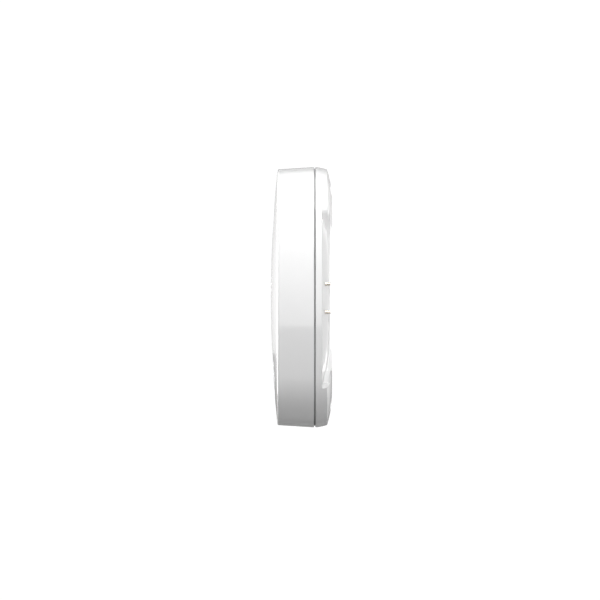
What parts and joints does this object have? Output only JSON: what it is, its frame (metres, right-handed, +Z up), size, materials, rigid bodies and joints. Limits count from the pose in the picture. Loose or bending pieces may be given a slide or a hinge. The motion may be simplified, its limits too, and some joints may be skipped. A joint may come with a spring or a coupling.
{
  "type": "video doorbell",
  "caption": "Slim pill-shaped video doorbell with a domed face, press button, side finger scoops in its rear casing and sprung contact pins.",
  "frame": {"origin": "middle of the flat rear face that lies against the wall bracket", "axes": "+Z up, +Y out of the rear face into the wall, -Y the way the camera looks, +X to the right seen from the front"},
  "size_m": [0.046, 0.0281, 0.12],
  "materials": {
    "casing": "smooth white injection moulding",
    "seal": "dark moulded rubber",
    "pad": "pale silicone rubber",
    "dark_window": "polished dark acrylic",
    "lens": "coated glass",
    "black_plastic": "fine matte",
    "grey_plastic": "fine matte",
    "chip": "moulded package",
    "board": "solder mask",
    "led": "clear moulded package",
    "diffuser": "milky light guide",
    "foam": "dark acoustic mesh and foam",
    "steel": "plated steel",
    "gold": "gold-plated brass",
    "copper": "copper"
  },
  "bodies": {
    "housing": {"board_connector": "grey_plastic", "board_screw_1": "steel", "board_screw_2": "steel", "board_screw_3": "steel", "board_screw_4": "steel", "bulk_capacitor_left": "steel", "bulk_capacitor_right": "steel", "button_board": "board", "button_return_pad": "pad", "button_switch": "grey_plastic", "camera_board": "board", "camera_window": "dark_window", "contact_barrel_lower": "gold", "contact_barrel_upper": "gold", "contact_block": "black_plastic", "contact_spring_lower": "steel", "contact_spring_upper": "steel", "flat_cable": "copper", "front_shell": "casing", "housing_screw_1": "steel", "housing_screw_2": "steel", "housing_screw_3": "steel", "housing_screw_4": "steel", "image_sensor": "chip", "ir_board": "board", "ir_led_left": "led", "ir_led_right": "led", "lens_barrel": "black_plastic", "lens_glass": "lens", "lens_holder": "black_plastic", "lens_shroud": "seal", "light_ring": "diffuser", "main_board": "board", "microphone": "steel", "microphone_boot": "seal", "power_board": "board", "power_coil": "copper", "processor_chip": "chip", "rear_pad_lower": "pad", "rear_pad_upper": "pad", "rear_shell": "casing", "reset_switch": "grey_plastic", "ring_led_1": "led", "ring_led_2": "led", "ring_led_3": "led", "ring_led_4": "led", "seam_gasket": "seal", "shield_can": "steel", "speaker_cone": "black_plastic", "speaker_frame": "black_plastic", "speaker_gasket": "foam", "speaker_magnet": "steel", "speaker_mesh": "foam", "wifi_antenna": "board"},
    "button": {"button_cap": "casing", "button_stem": "grey_plastic"},
    "pin_upper": {"contact_pin_upper": "gold"},
    "pin_lower": {"contact_pin_lower": "gold"},
    "reset": {"reset_button": "grey_plastic"}
  },
  "joints": [
    {"name": "button_press", "type": "slide", "parent": "housing", "child": "button", "axis": [0, 0.998, 0.064], "range_m": [0, 0.0008], "stiffness_N_per_m": 1500, "springref_m": -0.0003, "deforming": ["button_return_pad"]},
    {"name": "pin_upper_press", "type": "slide", "parent": "housing", "child": "pin_upper", "axis": [0, -1, 0], "range_m": [0, 0.0012], "stiffness_N_per_m": 500, "springref_m": -0.0006, "deforming": ["contact_spring_upper"]},
    {"name": "pin_lower_press", "type": "slide", "parent": "housing", "child": "pin_lower", "axis": [0, -1, 0], "range_m": [0, 0.0012], "stiffness_N_per_m": 500, "springref_m": -0.0006, "deforming": ["contact_spring_lower"]},
    {"name": "reset_press", "type": "slide", "parent": "housing", "child": "reset", "axis": [0, -1, 0], "range_m": [0, 0.0004], "stiffness_N_per_m": 1500, "springref_m": -0.0002}
  ]
}
